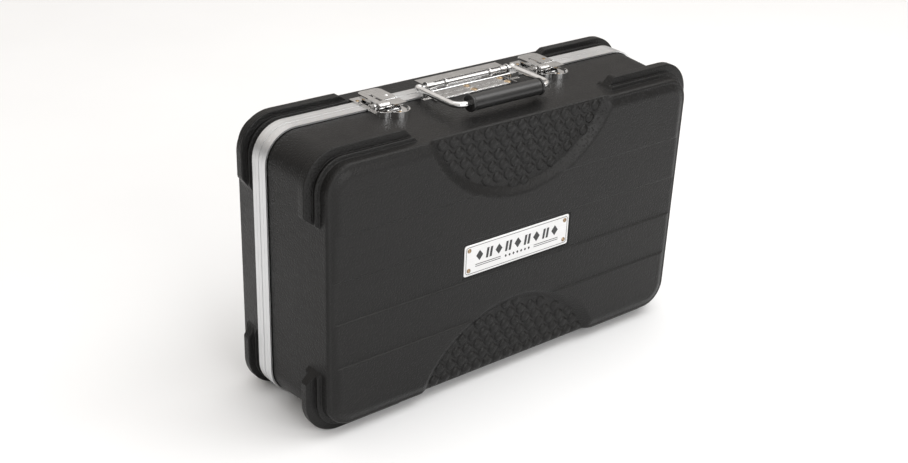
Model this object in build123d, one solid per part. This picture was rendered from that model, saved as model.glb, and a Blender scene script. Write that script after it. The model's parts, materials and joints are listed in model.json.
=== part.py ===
from build123d import *
import os

# A hard-shell case that carries a pedalboard, shut and standing on its hinge side.
# Millimetres. X runs along the long side, Y from the front (deep half) to the rear
# (shallow half), Z up. The origin is under the middle of the closed case, on the surface
# that it stands on. Functions below work in a frame whose Y = 0 is the parting plane
# between the two halves, and export_part() shifts them by PARTING_Y.

# ---- driving dimensions ----
VALANCE_LENGTH = 520.0        # outside of the aluminium frame, along X
VALANCE_HEIGHT = 312.0        # outside of the aluminium frame, along Z
VALANCE_RADIUS = 37.0         # outer corner of the frame
VALANCE_WIDTH = 12.4          # of each half's frame, along Y
VALANCE_SKIN = 1.8            # outer skin of the frame over the plastic wall
BUMPER_PROUD = 5.4            # corner bumpers beyond the frame
LEDGE_WIDTH = 6.5             # ledge beside a bumper's plateau
LEDGE_DROP = 9.2
FRONT_DEPTH = 111.0           # parting plane to the front panel
REAR_DEPTH = 55.0             # parting plane to the rear panel
WALL = 3.0                    # moulded shell wall
FRONT_LENGTH = 500.0          # front end of the deep half's side walls
FRONT_HEIGHT = 297.0
REAR_LENGTH = 511.0           # rear end of the shallow half's side walls
REAR_HEIGHT = 303.5
EDGE_BEVEL = 5.0              # bevel between a side wall and a panel
PANEL_STEP = 1.4              # one step of the stepped panel
OUTER_BAND = 76.0             # half height between the outer steps
CENTRE_BAND = 24.0            # half height between the inner steps
RECESS_RADIUS = 142.5         # half-moon recess at the panel surface
RECESS_FLOOR_RADIUS = 131.0
RECESS_CENTRE = 203.5         # of the recess circles, above and below the case's middle
RECESS_DEPTH = 8.0
PLATE_LENGTH = 151.0          # name plate
PLATE_HEIGHT = 37.0
BOARD_LENGTH = 442.0          # pedalboard
BOARD_WIDTH = 236.0
BOARD_HEIGHT = 46.0
BOARD_RAILS = 5
LATCH_X = 111.5               # latch centres, each side of the middle
HINGE_X = 150.0               # hinge centres
HINGE_LENGTH = 56.0
HINGE_RADIUS = 2.2            # knuckles
GRIP_LENGTH = 99.0
GRIP_RADIUS = 8.8
BAIL_RADIUS = 3.5
BAIL_HALF_SPAN = 65.5
RAIL_RADIUS = 3.0             # the bail's rear rail, which turns in the tray
BAIL_REACH = 64.5             # pivot to the middle of the grip
LIP_RISE = 9.6                # the handle tray's rear lip, above the frame
LIP_REACH = 11.5              # and behind the parting plane
RIB_X = 31.0                  # ribs of the handle tray, each side of the middle
CLEAR = 0.3                   # between parts that move past each other
FIT = 0.08                    # radial clearance of pins in their holes

# ---- derived ----
HEIGHT = VALANCE_HEIGHT + 2 * BUMPER_PROUD
MIDDLE_Z = HEIGHT / 2
PARTING_Y = FRONT_DEPTH - (FRONT_DEPTH + REAR_DEPTH) / 2
VALANCE_TOP = MIDDLE_Z + VALANCE_HEIGHT / 2
VALANCE_BOTTOM = MIDDLE_Z - VALANCE_HEIGHT / 2
SHELL_LENGTH = VALANCE_LENGTH - 2 * VALANCE_SKIN - 0.2    # shell inside the frame
SHELL_HEIGHT = VALANCE_HEIGHT - 2 * VALANCE_SKIN - 0.2
SHELL_RADIUS = VALANCE_RADIUS - VALANCE_SKIN - 0.1
SHELL_EDGE = 3.8              # the shell's edge stops this far from the parting plane
HINGE_Y = 0.0
HINGE_Z = VALANCE_BOTTOM - 0.25
PIVOT_Y = -8.5                # handle pivot
PIVOT_Z = MIDDLE_Z + 163.8
LEVER_Y = -17.6               # latch lever pin
LEVER_Z = VALANCE_TOP + 2.7
LINK_Y = -23.1                # pin that joins the hook to the lever
LINK_Z = VALANCE_TOP + 4.4
FLANGE_TOP = MIDDLE_Z + 154.6  # top of the handle's and latches' plates on the wall


def box(x0, x1, y0, y1, z0, z1):
    """A block between opposite corners."""
    size = (x1 - x0, y1 - y0, z1 - z0)
    middle = ((x0 + x1) / 2, (y0 + y1) / 2, (z0 + z1) / 2)
    return Pos(*middle) * Box(*size)


def rod(x0, x1, y, z, radius):
    """A round bar along X."""
    return Pos((x0 + x1) / 2, y, z) * Rot(0, 90, 0) * Cylinder(radius, x1 - x0)


def outline(length, height, radius, y):
    """A rounded rectangle that faces -Y, centred on the case's middle."""
    plane = Plane(origin=(0, y, MIDDLE_Z), x_dir=(1, 0, 0), z_dir=(0, -1, 0))
    return plane * RectangleRounded(length, height, radius)


def slab(length, height, radius, y0, y1):
    """A rounded rectangle with straight sides between two values of Y."""
    return extrude(outline(length, height, radius, y1), y1 - y0)


def taper(first, second):
    """A solid between two outlines, with flat sides."""
    return loft([first, second], ruled=True)


def frustum(y_small, r_small, y_big, r_big, z):
    """A cone frustum along Y, whose small end is at y_small."""
    direction = 1 if y_big > y_small else -1
    plane = Plane(origin=(0, y_small, z), x_dir=(1, 0, 0), z_dir=(0, direction, 0))
    cone = Cone(r_small, r_big, abs(y_big - y_small), align=(Align.CENTER, Align.CENTER, Align.MIN))
    return plane * cone


def wall_top(y):
    """Height of the top wall's outer surface at a given Y in front of the frame."""
    start = MIDDLE_Z + SHELL_HEIGHT / 2
    end = MIDDLE_Z + FRONT_HEIGHT / 2
    return start + (end - start) * (-y - SHELL_EDGE) / (FRONT_DEPTH - EDGE_BEVEL - SHELL_EDGE)


def under_wall():
    """Everything below the top wall's outer surface, to fit hardware to its slope."""
    points = [(-3.0, wall_top(-3.0) + 0.02), (-60.0, wall_top(-60.0) + 0.02), (-60.0, 200.0), (-3.0, 200.0)]
    return section_bar(points, -200, 200)


def section_bar(points, x0, x1):
    """A profile in the YZ plane, extruded along X."""
    face = Plane(origin=(x0, 0, 0), x_dir=(0, 1, 0), z_dir=(1, 0, 0)) * make_face(
        Polyline(*points, close=True))
    return extrude(face, amount=x1 - x0, dir=(1, 0, 0))


def drill(part, spots, radius):
    """Vertical holes through a plate at a list of (x, y, z) spots."""
    for spot in spots:
        part = part - Pos(*spot) * Cylinder(radius, 8.0)
    return part


# ---- the two shells ----
def shell_body(end_y, end_length, end_height, panel_y, grow=0.0):
    """One half's outer form: drafted walls, then a bevel up to the panel.

    grow is negative for the cavity, which follows the outside at the wall's thickness.
    """
    side = 1 if end_y > 0 else -1
    open_y = side * SHELL_EDGE if grow == 0 else 0
    inside = 2 * grow
    mouth = outline(SHELL_LENGTH + inside, SHELL_HEIGHT + inside, SHELL_RADIUS + grow, open_y)
    rim = outline(end_length + inside, end_height + inside, 30 + grow, end_y)
    bevelled = inside - 2 * EDGE_BEVEL
    panel = outline(end_length + bevelled, end_height + bevelled, 30 - EDGE_BEVEL + grow, panel_y)
    return taper(mouth, rim) + taper(rim, panel)


def bumper_region(x_end, z_end, y0, y1):
    """The four corner areas that carry bumpers, cut at 45 degrees at their ends."""
    half_length = VALANCE_LENGTH / 2 + BUMPER_PROUD
    half_height = HEIGHT / 2
    drop = 26.0
    corner = [
        (x_end, half_height + 1),
        (half_length + 1, half_height + 1),
        (half_length + 1, z_end),
        (half_length + 1 - drop, z_end - drop),
        (x_end - drop, z_end - drop),
        (x_end - drop, half_height + 1 - drop),
    ]
    regions = []
    for sx in (-1, 1):
        for sz in (-1, 1):
            points = [(sx * x, sz * z) for x, z in corner]
            face = Plane(origin=(0, y1, MIDDLE_Z), x_dir=(1, 0, 0), z_dir=(0, -1, 0)) * make_face(
                Polyline(*points, close=True))
            regions.append(extrude(face, amount=y1 - y0, dir=(0, -1, 0)))
    return regions


def bumpers(y0, y1):
    """Moulded bumpers round the four corners: a plateau with a lower ledge on each side."""
    proud = 2 * BUMPER_PROUD
    plateau = slab(VALANCE_LENGTH + proud, VALANCE_HEIGHT + proud, VALANCE_RADIUS + 3, y0, y1)
    low = proud - 2 * LEDGE_DROP
    ledge = slab(VALANCE_LENGTH + low, VALANCE_HEIGHT + low, VALANCE_RADIUS - 3,
                 y0 - LEDGE_WIDTH, y1 + LEDGE_WIDTH)
    pads = []
    for step in (plateau, ledge):
        for end in (0, -1):
            step = fillet(step.faces().sort_by(Axis.Y)[end].edges(), 1.2)
        for region in bumper_region(146.0, 94.5, y0 - LEDGE_WIDTH, y1 + LEDGE_WIDTH):
            pads.append(step & region)
    return pads


def step_cut(panel_y, half_height, depth):
    """A shallow full-width cut with 45 degree ledges, across the middle of a panel."""
    side = -1 if panel_y < 0 else 1
    floor = panel_y - side * depth
    top = panel_y + side * 1.0
    profile = [
        (floor, half_height - depth),
        (top, half_height + 1.0),
        (top, -half_height - 1.0),
        (floor, -half_height + depth),
    ]
    face = Plane(origin=(-300, 0, MIDDLE_Z), x_dir=(0, 1, 0), z_dir=(1, 0, 0)) * make_face(
        Polyline(*profile, close=True))
    return extrude(face, amount=600, dir=(1, 0, 0))


def front_shell():
    """The deep moulded half with its stepped panel and two half-moon recesses."""
    end_y = -(FRONT_DEPTH - EDGE_BEVEL)
    body = shell_body(end_y, FRONT_LENGTH, FRONT_HEIGHT, -FRONT_DEPTH)
    body = body - step_cut(-FRONT_DEPTH, OUTER_BAND, PANEL_STEP)
    body = body - step_cut(-FRONT_DEPTH + PANEL_STEP, CENTRE_BAND, PANEL_STEP)
    pocket_y = -FRONT_DEPTH + 2 * PANEL_STEP
    body = body - box(-77.5, 77.5, pocket_y - 2, pocket_y + 0.9, MIDDLE_Z - 20.5, MIDDLE_Z + 20.5)
    for pad in bumpers(-91.0, -81.0):
        body = body + pad
    floor_y = -FRONT_DEPTH + RECESS_DEPTH
    slope = (RECESS_RADIUS - RECESS_FLOOR_RADIUS) / RECESS_DEPTH
    cavity = shell_body(end_y + 1.0, FRONT_LENGTH, FRONT_HEIGHT, -FRONT_DEPTH + 5.8, grow=-WALL)
    for side in (-1, 1):
        centre = MIDDLE_Z + side * RECESS_CENTRE
        mouth_radius = RECESS_RADIUS + slope * 2
        body = body - frustum(floor_y, RECESS_FLOOR_RADIUS, -FRONT_DEPTH - 2, mouth_radius, centre)
        back = frustum(floor_y + WALL, RECESS_FLOOR_RADIUS, -FRONT_DEPTH, RECESS_RADIUS + 4, centre)
        cavity = cavity - back
    return body - cavity


def rear_shell():
    """The shallow moulded half, with the same stepped style on its plain panel."""
    end_y = REAR_DEPTH - EDGE_BEVEL
    body = shell_body(end_y, REAR_LENGTH, REAR_HEIGHT, REAR_DEPTH)
    body = body - step_cut(REAR_DEPTH, OUTER_BAND, PANEL_STEP)
    body = body - step_cut(REAR_DEPTH - PANEL_STEP, CENTRE_BAND, PANEL_STEP)
    for pad in bumpers(25.0, 35.0):
        body = body + pad
    cavity = shell_body(end_y - 1.0, REAR_LENGTH, REAR_HEIGHT, REAR_DEPTH - 5.8, grow=-WALL)
    return body - cavity


# ---- aluminium frame ----
def hinge_notch(x):
    """Room for a hinge's knuckles in the frame."""
    half = HINGE_LENGTH / 2 + CLEAR
    return rod(x - half, x + half, HINGE_Y, HINGE_Z, HINGE_RADIUS + CLEAR)


def valance(side):
    """One half's aluminium frame: a channel that grips the edge of the shell.

    side is -1 for the front half and 1 for the rear half.
    """
    y0, y1 = sorted((side * CLEAR / 2, side * VALANCE_WIDTH))
    ring = slab(VALANCE_LENGTH, VALANCE_HEIGHT, VALANCE_RADIUS, y0, y1)
    inner = 2 * (VALANCE_SKIN + WALL + 2.6)
    bore = slab(VALANCE_LENGTH - inner, VALANCE_HEIGHT - inner, VALANCE_RADIUS - inner / 2, -20, 20)
    skin = 2 * VALANCE_SKIN
    s0, s1 = sorted((side * (SHELL_EDGE - 0.1), side * (VALANCE_WIDTH + 1)))
    slot = slab(VALANCE_LENGTH - skin, VALANCE_HEIGHT - skin, VALANCE_RADIUS - VALANCE_SKIN, s0, s1)
    wall = skin + 2 * (WALL + 1.4)
    land = slab(VALANCE_LENGTH - wall, VALANCE_HEIGHT - wall, VALANCE_RADIUS - wall / 2, s0, s1)
    lip0, lip1 = sorted((side * 8.0, side * (VALANCE_WIDTH + 1)))
    frame = ring - bore - (slot - land)
    frame = frame - slab(VALANCE_LENGTH - skin, VALANCE_HEIGHT - skin, VALANCE_RADIUS - 2, lip0, lip1)
    outside = slab(VALANCE_LENGTH + 4, VALANCE_HEIGHT + 4, VALANCE_RADIUS + 2, -20, 20)
    groove = 0.45
    floor = slab(VALANCE_LENGTH - 2 * groove, VALANCE_HEIGHT - 2 * groove, VALANCE_RADIUS - groove, -20, 20)
    band = outside - floor
    for middle, width in ((0.0, 1.6), (6.4, 0.7)):
        g0, g1 = sorted((side * (middle - width / 2), side * (middle + width / 2)))
        frame = frame - (band & box(-300, 300, g0, g1, -20, HEIGHT + 20))
    for x in (-HINGE_X, HINGE_X):
        frame = frame - hinge_notch(x)
    return frame


def tongue_path(y0, y1, inset, thickness, z_low):
    """A rib along the top and the two ends of the frame, above z_low."""
    outer = 2 * inset
    inner = 2 * (inset + thickness)
    rib = slab(VALANCE_LENGTH - outer, VALANCE_HEIGHT - outer, VALANCE_RADIUS - inset, y0, y1)
    rib = rib - slab(VALANCE_LENGTH - inner, VALANCE_HEIGHT - inner,
                     VALANCE_RADIUS - inset - thickness, y0 - 1, y1 + 1)
    return rib & box(-300, 300, y0, y1, z_low, HEIGHT)


# ---- hinges ----
def knuckle_spans(x, rear):
    """Where one leaf's knuckles lie along X: the rear leaf has the middle one."""
    third = HINGE_LENGTH / 3
    start = x - HINGE_LENGTH / 2
    spans = [(start, start + third), (start + third, start + 2 * third),
             (start + 2 * third, start + 3 * third)]
    chosen = [spans[1]] if rear else [spans[0], spans[2]]
    return [(a + 0.2, b - 0.2) for a, b in chosen]


def hinge_leaf(x, side):
    """A hinge leaf under the frame, with knuckles rolled round the pin."""
    thick = 1.2
    y0, y1 = sorted((side * 2.6, side * 11.6))
    half = HINGE_LENGTH / 2
    z1 = VALANCE_BOTTOM - 0.02
    leaf = box(x - half, x + half, y0, y1, z1 - thick, z1)
    for a, b in knuckle_spans(x, side > 0):
        r0, r1 = sorted((0.0, side * 3.2))
        leaf = leaf + rod(a, b, HINGE_Y, HINGE_Z, HINGE_RADIUS)
        leaf = leaf + box(a, b, r0, r1, z1 - thick, z1)
    for a, b in knuckle_spans(x, side < 0):
        leaf = leaf - rod(a - 0.4, b + 0.4, HINGE_Y, HINGE_Z, HINGE_RADIUS + CLEAR)
    return leaf - rod(x - half - 1, x + half + 1, HINGE_Y, HINGE_Z, 1.0 + FIT)


def hinge_pin(x):
    half = HINGE_LENGTH / 2
    return rod(x - half, x + half, HINGE_Y, HINGE_Z, 1.0)


def hinge_rivets(side):
    """Flat rivets that hold both of one half's hinge leaves to the frame."""
    heads = []
    for x in (-HINGE_X, HINGE_X):
        for dx in (-20.0, 0.0, 20.0):
            z = VALANCE_BOTTOM - 1.22
            head = Cylinder(2.0, 0.6, align=(Align.CENTER, Align.CENTER, Align.MAX))
            heads.append(Pos(x + dx, side * 7.2, z) * head)
    return heads


# ---- name plate ----
PLATE_Y = -FRONT_DEPTH + 2 * PANEL_STEP + 0.9    # floor of the pocket


def nameplate():
    plate = slab(PLATE_LENGTH, PLATE_HEIGHT, 2.5, PLATE_Y - 1.0, PLATE_Y)
    for x in (-69.0, 69.0):
        for z in (-12.0, 12.0):
            hole = Rot(90, 0, 0) * Cylinder(1.6, 4)
            plate = plate - Pos(x, PLATE_Y, MIDDLE_Z + z) * hole
    return chamfer(plate.faces().sort_by(Axis.Y)[0].outer_wire().edges(), 0.3)


def nameplate_rivets():
    rivets = []
    for x in (-69.0, 69.0):
        for z in (-12.0, 12.0):
            shank = Rot(90, 0, 0) * Cylinder(1.5, 1.0, align=(Align.CENTER, Align.CENTER, Align.MIN))
            dome = Sphere(2.6) & Pos(0, -2.0, 0) * Box(6, 4, 6)
            dome = Pos(0, -1.0, 0) * scale(dome, (1, 0.45, 1))
            rivets.append(Pos(x, PLATE_Y, MIDDLE_Z + z) * (shank + dome))
    return rivets


# ---- handle ----
def handle_base():
    """Pressed chrome tray on the frame: a lip over the seam, rear wall, floor, front ridge, ears."""
    t = 1.3
    top = VALANCE_TOP + 0.02
    seat = FLANGE_TOP
    profile = [
        (-1.6, top), (-1.6, top + LIP_RISE - t), (LIP_REACH, top + LIP_RISE - t), (LIP_REACH, top + LIP_RISE),
        (-1.6 - t, top + LIP_RISE), (-1.6 - t, top + t),
        (-12.8, top + t), (-12.8, top + 3.3), (-15.4, top + 3.3), (-15.4, seat),
        (-28.5, seat), (-28.5, seat - 4.0), (-14.0, seat - 4.0), (-14.0, top),
    ]
    base = section_bar(profile, -57.0, 57.0) + rod(-57.0, 57.0, -14.1, top + 3.3, 1.3)
    ear = box(0, 1.6, -14.0, -1.6, top, PIVOT_Z) + rod(0, 1.6, PIVOT_Y, PIVOT_Z, 5.4)
    base = base + Pos(55.6, 0, 0) * ear + Pos(-57.2, 0, 0) * ear
    for side in (-1, 1):
        a, b = side * RIB_X - 0.9, side * RIB_X + 0.9
        rib = box(a, b, -13.5, -2.0, top + t - 0.2, top + 3.6)
        ring = rod(a, b, PIVOT_Y, PIVOT_Z, BAIL_RADIUS + 1.7) - rod(a - 1, b + 1, PIVOT_Y, PIVOT_Z, BAIL_RADIUS)
        strap = box(a, b, PIVOT_Y + BAIL_RADIUS + 0.5, -2.0, top + 3.0, top + LIP_RISE) + ring
        a, b = sorted((side * 56.0, side * 67.5))
        rest_top = PIVOT_Z - BAIL_RADIUS - 0.05
        stop = box(a, b, -20.5, -14.8, seat - 4.0, seat)
        stop = stop + box(a, b, -18.0, -16.6, seat - 1.0, rest_top)
        base = base + rib + strap + stop
    base = base - rod(-60, 60, PIVOT_Y, PIVOT_Z, 2.4 + FIT)
    base = drill(base, handle_rivet_spots(), 2.1)
    return base - under_wall()


def handle_rivet_spots():
    return [(x, -22.0, FLANGE_TOP) for x in (-48.0, 0.0, 48.0)]


def rivet(radius, height, grip_length, shank):
    """A button head on a short shank, along +Z, with the seat at Z = 0."""
    ball = (radius * radius + height * height) / (2 * height)
    head = Pos(0, 0, height - ball) * Sphere(ball) & Pos(0, 0, height / 2) * Box(4 * radius, 4 * radius, height)
    body = Cylinder(shank, grip_length, align=(Align.CENTER, Align.CENTER, Align.MAX))
    return head + body


def handle_base_rivets():
    return [Pos(*spot) * rivet(4.2, 1.6, 1.2, 2.0) for spot in handle_rivet_spots()]


def handle_bail():
    """A closed frame of round bar: its rear rail passes through the ears of the base."""
    x, y0, y1, z = BAIL_HALF_SPAN, PIVOT_Y, PIVOT_Y - BAIL_REACH, PIVOT_Z
    path = FilletPolyline((-x, y0, z), (-x, y1, z), (x, y1, z), (x, y0, z), radius=11)
    start = Plane(origin=(-x, y0, z), z_dir=(0, -1, 0))
    bail = sweep(start * Circle(BAIL_RADIUS), path)
    for side in (-1, 1):
        knob = Pos(side * x, y0, z) * Sphere(BAIL_RADIUS + 1.3)
        a, b = sorted((side * 47.0, side * 54.5))
        bail = bail + knob + rod(a, b, y0, z, BAIL_RADIUS + 0.8)
    return bail + rod(-x, x, y0, z, 2.4) + rod(-54.5, 54.5, y0, z, RAIL_RADIUS)


def handle_grip():
    """The round black grip on the bail's cross bar."""
    half = GRIP_LENGTH / 2 - 3.2
    y = PIVOT_Y - BAIL_REACH
    body = rod(-half, half, y, PIVOT_Z, GRIP_RADIUS)
    body = fillet(body.edges().filter_by(GeomType.CIRCLE), 1.0)
    return body - rod(-half - 1, half + 1, y, PIVOT_Z, BAIL_RADIUS + FIT)


def grip_end_caps():
    """Flared caps at both ends of the grip."""
    caps = []
    y = PIVOT_Y - BAIL_REACH
    for side in (-1, 1):
        a, b = sorted((side * (GRIP_LENGTH / 2 - 3.1), side * GRIP_LENGTH / 2))
        cap = rod(a, b, y, PIVOT_Z, GRIP_RADIUS + 0.7)
        cap = fillet(cap.edges().filter_by(GeomType.CIRCLE), 1.0)
        caps.append(cap - rod(a - 1, b + 1, y, PIVOT_Z, BAIL_RADIUS + FIT))
    return caps


# ---- latches ----
def latch_base(x):
    """Plate on the front frame and wall, with ears for the lever pin and a finger cup."""
    t = 1.2
    top = VALANCE_TOP + 0.02
    seat = FLANGE_TOP
    low = seat - 6.0
    left, right = x - 25.0, x + 14.0
    base = box(left, right, -14.9, -1.0, top, top + t)
    base = base + box(left, right, -14.9, -13.8, low, top + t) + box(left + 2, right, -32.1, -13.8, low, seat)
    rim_top = VALANCE_TOP + 2.4
    for cx, cy, radius in ((x + 0.5, -32.0, 13.2), (x - 14.5, -29.0, 8.7)):
        rim = standing(cx, cy, low, rim_top, radius) - standing(cx, cy, seat, rim_top + 1, radius - 1.2)
        base = base + (rim & box(left - 5, right + 5, -60, cy, low, rim_top))
    for ear_x in (x - 20.0, x + 12.6):
        ear = box(ear_x, ear_x + 1.4, -20.5, -13.8, seat - 1, LEVER_Z)
        base = base + ear + rod(ear_x, ear_x + 1.4, LEVER_Y, LEVER_Z, 3.4)
    base = base - rod(x - 26, x + 16, LEVER_Y, LEVER_Z, 1.5 + FIT)
    base = drill(base, latch_rivet_spots(x), 1.25)
    return base - under_wall()


def standing(x, y, z0, z1, radius):
    """An upright cylinder."""
    return Pos(x, y, z0) * Cylinder(radius, z1 - z0, align=(Align.CENTER, Align.CENTER, Align.MIN))


def latch_rivet_spots(x):
    """One rivet on the frame and two on the wall."""
    return [(x - 14.0, -11.5, VALANCE_TOP + 1.22), (x - 16.5, -29.5, FLANGE_TOP),
            (x + 2.5, -33.0, FLANGE_TOP)]


def latch_pin(x):
    """Steel pin through the ears, with peened ends."""
    return rod(x - 20.6, x + 14.6, LEVER_Y, LEVER_Z, 1.5)


def latch_lever(x):
    """The finger plate: a flat top, a barrel round its pin and a cheek for the link pin."""
    z1 = VALANCE_TOP + 7.2
    a, b = x - 4.0, x + 11.9
    plate = box(a, b, -32.0, LEVER_Y, z1 - 1.3, z1)
    nose = box(a, b, -32.0, -30.7, z1 - 2.6, z1)
    cheek = box(a, a + 1.6, -25.0, LEVER_Y, LEVER_Z - 1.0, z1) + rod(a, a + 1.6, LINK_Y, LINK_Z, 2.6)
    web = box(a, b, LEVER_Y - 1.6, LEVER_Y, LEVER_Z, z1)
    lever = plate + nose + cheek + web + rod(a, b, LEVER_Y, LEVER_Z, 2.7)
    lever = lever - rod(a - 1, b + 1, LEVER_Y, LEVER_Z, 1.5 + FIT)
    return lever - rod(a - 1, a + 3, LINK_Y, LINK_Z, 1.3 + FIT)


def link_pin(x):
    """Short pin that carries the hook on the lever's cheek."""
    return rod(x - 17.0, x - 2.4, LINK_Y, LINK_Z, 1.3)


def latch_hook(x):
    """The draw plate: a slotted cover that reaches over the keeper, on a barrel at the link pin."""
    z1 = VALANCE_TOP + 7.4
    t = 1.3
    left, right = x - 17.0, x + 12.2
    plate = box(left, right, LEVER_Y + 3.6, 19.5, z1 - t, z1)
    plate = fillet(plate.edges().filter_by(Axis.Z).sort_by(Axis.Y)[-2:], 7.0)
    arm = box(left, x - 4.4, LINK_Y, LEVER_Y + 3.7, z1 - t, z1)
    hook = plate + arm
    for side_x in (left, right - t):
        hook = hook + box(side_x, side_x + t, -8.0, 12.4, VALANCE_TOP + 3.2, z1)
    claw = box(x - 9.5, x + 4.7, 19.5 - t, 19.5, VALANCE_TOP + 1.6, z1)
    hook = hook + claw + rod(left, x - 4.4, LINK_Y, LINK_Z, 2.9)
    slot = box(x - 10.6, x - 6.2, -16.0, 6.5, z1 - 3, z1 + 1)
    hook = drill(hook - slot, [hook_rivet_spot(x)], 1.25)
    return hook - rod(left - 1, x - 3, LINK_Y, LINK_Z, 1.3 + FIT)


def latch_hook_rivet(x):
    return Pos(*hook_rivet_spot(x)) * rivet(2.4, 1.0, 1.2, 1.2)


def hook_rivet_spot(x):
    return (x + 5.7, -4.0, VALANCE_TOP + 7.4)


def latch_base_rivets(x):
    return [Pos(*spot) * rivet(2.2, 1.0, 0.9, 1.2) for spot in latch_rivet_spots(x)]


def keeper(x):
    """Keeper plate on the rear frame, turned down over the frame's rear edge."""
    t = 1.2
    top = VALANCE_TOP + 0.02
    plate = box(x - 25, x + 13, 1.0, 20.5, top, top + t)
    lip = box(x - 25, x + 13, 20.5 - t, 20.5, MIDDLE_Z + 153.8, top + t)
    slot = box(x - 10.5, x + 5.7, 17.0, 18.8, top - 1, top + 3)
    return drill(plate + lip - slot, keeper_rivet_spots(x), 1.25)


def keeper_rivet_spots(x):
    return [(x + dx, y, VALANCE_TOP + 1.22) for dx, y in ((-20.5, 11.0), (-4.0, 7.0), (6.0, 7.0))]


def keeper_rivets(x):
    return [Pos(*spot) * rivet(2.2, 1.0, 1.0, 1.2) for spot in keeper_rivet_spots(x)]


# ---- linings ----
def lid_foam():
    """Foam sheet against the inside of the front panel, behind the recesses."""
    sheet = slab(FRONT_LENGTH - 12, FRONT_HEIGHT - 12, 22, -99.6, -86.0)
    return sheet


def base_foam_sheet():
    return slab(REAR_LENGTH - 14, REAR_HEIGHT - 14, 20, 41.0, 46.8)


def base_foam_ring():
    """Foam that fills the space between the board and the shallow half's walls."""
    ring = slab(REAR_LENGTH - 8, REAR_HEIGHT - 8, 24, 9.0, 40.7)
    return ring - slab(BOARD_LENGTH + 2, BOARD_WIDTH + 2, 2, 0, 50)


# ---- the pedalboard ----
BOARD_BACK = 40.5             # feet rest here, on the foam sheet
FOOT_HEIGHT = 6.0
BOARD_FRONT = BOARD_BACK - FOOT_HEIGHT - BOARD_HEIGHT + 6.0
RAIL_DEPTH = 12.0
SIDE_THICK = 4.0


def rail_centres():
    """Heights of the rails' middles, evenly spaced across the board."""
    width = 38.0
    pitch = (BOARD_WIDTH - width) / (BOARD_RAILS - 1)
    first = MIDDLE_Z - BOARD_WIDTH / 2 + width / 2
    return width, [first + i * pitch for i in range(BOARD_RAILS)]


def board_rails():
    """Channel-section aluminium rails that carry the pedals."""
    width, centres = rail_centres()
    half = BOARD_LENGTH / 2 - SIDE_THICK
    rails = []
    for z in centres:
        rail = box(-half, half, BOARD_FRONT, BOARD_FRONT + RAIL_DEPTH, z - width / 2, z + width / 2)
        inside = box(-half - 1, half + 1, BOARD_FRONT + 2.0, BOARD_FRONT + RAIL_DEPTH + 1,
                     z - width / 2 + 2.0, z + width / 2 - 2.0)
        rails.append(rail - inside)
    return rails


def board_side(side):
    """End frame of the board, with a window to save weight and pass cables."""
    a, b = sorted((side * (BOARD_LENGTH / 2 - SIDE_THICK), side * BOARD_LENGTH / 2))
    low, high = MIDDLE_Z - BOARD_WIDTH / 2, MIDDLE_Z + BOARD_WIDTH / 2
    plate = box(a, b, BOARD_FRONT, BOARD_BACK - FOOT_HEIGHT, low, high)
    window = box(a - 1, b + 1, BOARD_FRONT + RAIL_DEPTH + 5, BOARD_BACK - FOOT_HEIGHT - 7,
                 MIDDLE_Z - 75, MIDDLE_Z + 75)
    plate = plate - window
    inner = a - 12.0 if side > 0 else b
    flange = box(inner, inner + 12.0, BOARD_BACK - FOOT_HEIGHT - 3.0, BOARD_BACK - FOOT_HEIGHT, low, high)
    return plate + flange


def board_feet():
    """Four rubber feet under the board's end frames."""
    feet = []
    for sx in (-1, 1):
        for sz in (-1, 1):
            place = Pos(sx * (BOARD_LENGTH / 2 - 9), BOARD_BACK - FOOT_HEIGHT, MIDDLE_Z + sz * 100)
            foot = Cone(7.0, 6.0, FOOT_HEIGHT, align=(Align.CENTER, Align.CENTER, Align.MIN))
            feet.append(place * Rot(-90, 0, 0) * foot)
    return feet


def board_screws():
    """Screws that join each rail to both end frames."""
    width, centres = rail_centres()
    screws = []
    for sx in (-1, 1):
        for z in centres:
            head = Rot(0, sx * 90, 0) * Cylinder(2.6, 1.4, align=(Align.CENTER, Align.CENTER, Align.MIN))
            screws.append(Pos(sx * BOARD_LENGTH / 2, BOARD_FRONT + 1.0 + 2.6, z) * head)
    return screws


def hook_loop_strips():
    """Self-adhesive hook strips on the faces of the rails."""
    width, centres = rail_centres()
    half = BOARD_LENGTH / 2 - 20
    return [box(-half, half, BOARD_FRONT - 2.0, BOARD_FRONT, z - 12.5, z + 12.5) for z in centres]


# ---- writing ----
def export_part(name, shape):
    """Shift a part to the case's frame and write it; a list becomes a group of solids."""
    move = Pos(0, PARTING_Y, 0)
    solids = shape if isinstance(shape, list) else [shape]
    moved = []
    for item in solids:
        placed = move * item
        moved.extend(placed.solids())
    result = moved[0] if len(moved) == 1 else Compound(children=moved)
    export_step(result, "parts/" + name + ".step")


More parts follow.
